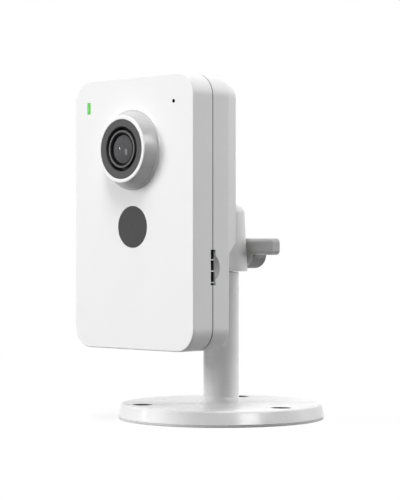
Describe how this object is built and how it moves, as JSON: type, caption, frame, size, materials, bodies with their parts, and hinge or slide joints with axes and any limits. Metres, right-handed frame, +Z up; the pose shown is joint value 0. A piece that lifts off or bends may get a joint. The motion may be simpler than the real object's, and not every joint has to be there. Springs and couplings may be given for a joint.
{
  "type": "security camera",
  "caption": "Cube-shaped network security camera on a round table stand: ball joint, swivel head, wing clamp knob, lens in a white shroud, infrared window, card slot and rear ports.",
  "frame": {"origin": "centre of the stand's underside, on the pole's axis, at the face of the rubber pad", "axes": "+Z up along the pole, the lens looks along -Y, +X is to the right for a person facing the lens"},
  "size_m": [0.0854, 0.0995, 0.1384],
  "materials": {
    "housing_white": "satin moulded white plastic with a fine spark texture",
    "shroud_white": "semi-gloss moulded white plastic",
    "stand_white": "satin moulded white plastic",
    "knob_grey": "satin moulded light grey plastic",
    "black_plastic": "matte moulded black plastic",
    "bezel_grey": "matte dark grey plastic",
    "lens_metal": "black anodised and turned",
    "lens_glass": "coated optical glass",
    "filter_glass": "coated infrared-cut glass",
    "smoked_window": "smoked infrared-passing plastic, semi-gloss",
    "green_light": "clear green light pipe",
    "steel": "zinc plated steel",
    "tin_shield": "tinned sheet steel",
    "zinc_ball": "satin nickel plated",
    "brass": "turned brass",
    "acetal": "natural acetal",
    "board_green": "green solder mask on glass-epoxy board",
    "chip_black": "black epoxy package",
    "copper": "enamelled copper winding",
    "gold_film": "amber polyimide film",
    "clear_dome": "clear epoxy",
    "mirror_metal": "metallised reflector",
    "pad_blue": "soft silicone gap pad",
    "aluminium": "bent aluminium sheet",
    "rubber_black": "matte soft rubber",
    "rubber_grey": "matte soft rubber",
    "weight_steel": "plain stamped steel"
  },
  "bodies": {
    "stand": {"stand": "stand_white", "base_weight": "weight_steel", "base_pad": "rubber_grey"},
    "head": {"head": "stand_white", "swivel_screw": "steel", "swivel_washer": "steel", "clamp_plug": "brass"},
    "stud": {"ball_stud": "zinc_ball", "stud_washer": "steel", "stud_nut": "steel"},
    "shoe": {"clamp_shoe": "acetal"},
    "knob": {"clamp_screw": "steel", "wing_knob": "knob_grey"},
    "filter": {"ir_cut_filter": "filter_glass"},
    "reset": {"reset_button": "black_plastic"},
    "camera": {"front_cover": "housing_white", "rear_cover": "housing_white", "housing_screws": "steel", "lens_shroud": "shroud_white", "lens_bezel": "bezel_grey", "lens_barrel": "black_plastic", "lens_ring": "lens_metal", "front_lens": "lens_glass", "rear_lens": "lens_glass", "lens_holder": "black_plastic", "lens_screws": "steel", "filter_frame": "black_plastic", "filter_coil": "copper", "image_sensor": "chip_black", "sensor_board": "board_green", "sensor_cable": "gold_film", "ir_window": "smoked_window", "ir_reflector": "mirror_metal", "ir_led": "clear_dome", "light_sensor": "clear_dome", "light_pipe": "green_light", "status_led": "clear_dome", "microphone": "tin_shield", "mic_boot": "rubber_black", "main_board": "board_green", "processor": "chip_black", "thermal_pad": "pad_blue", "heat_spreader": "aluminium", "memory_chip": "chip_black", "card_socket": "tin_shield", "board_screws": "steel", "port_board": "board_green", "port_cable": "gold_film", "ethernet_jack": "tin_shield", "power_jack": "black_plastic", "reset_switch": "black_plastic", "speaker": "black_plastic", "aerial": "gold_film"}
  },
  "joints": [
    {"name": "head_swivel", "type": "hinge", "parent": "stand", "child": "head", "pos_m": [0, 0, 0.061], "axis": [0, 0, 1], "continuous": true},
    {"name": "camera_tilt", "type": "hinge", "parent": "head", "child": "stud", "pos_m": [0, -0.003, 0.0684], "axis": [-1, 0, 0], "range_deg": [-24, 30]},
    {"name": "camera_roll", "type": "hinge", "parent": "stud", "child": "camera", "pos_m": [0, -0.003, 0.0684], "axis": [0, 1, 0], "range_deg": [-90, 90]},
    {"name": "knob_turn", "type": "hinge", "parent": "shoe", "child": "knob", "pos_m": [0, 0.0113, 0.0684], "axis": [0, 1, 0], "range_deg": [0, 360]},
    {"name": "shoe_slide", "type": "slide", "parent": "head", "child": "shoe", "axis": [0, 1, 0], "range_m": [0, 0.0008]},
    {"name": "filter_slide", "type": "slide", "parent": "camera", "child": "filter", "axis": [-1, 0, 0], "range_m": [0, 0.0072]},
    {"name": "reset_press", "type": "slide", "parent": "camera", "child": "reset", "axis": [0, -1, 0], "range_m": [0, 0.0006], "stiffness_N_per_m": 800, "springref_m": -0.0004}
  ],
  "couplings": [
    {"joint": "knob_turn", "follows": "shoe_slide", "rad_per_m": 7854}
  ]
}
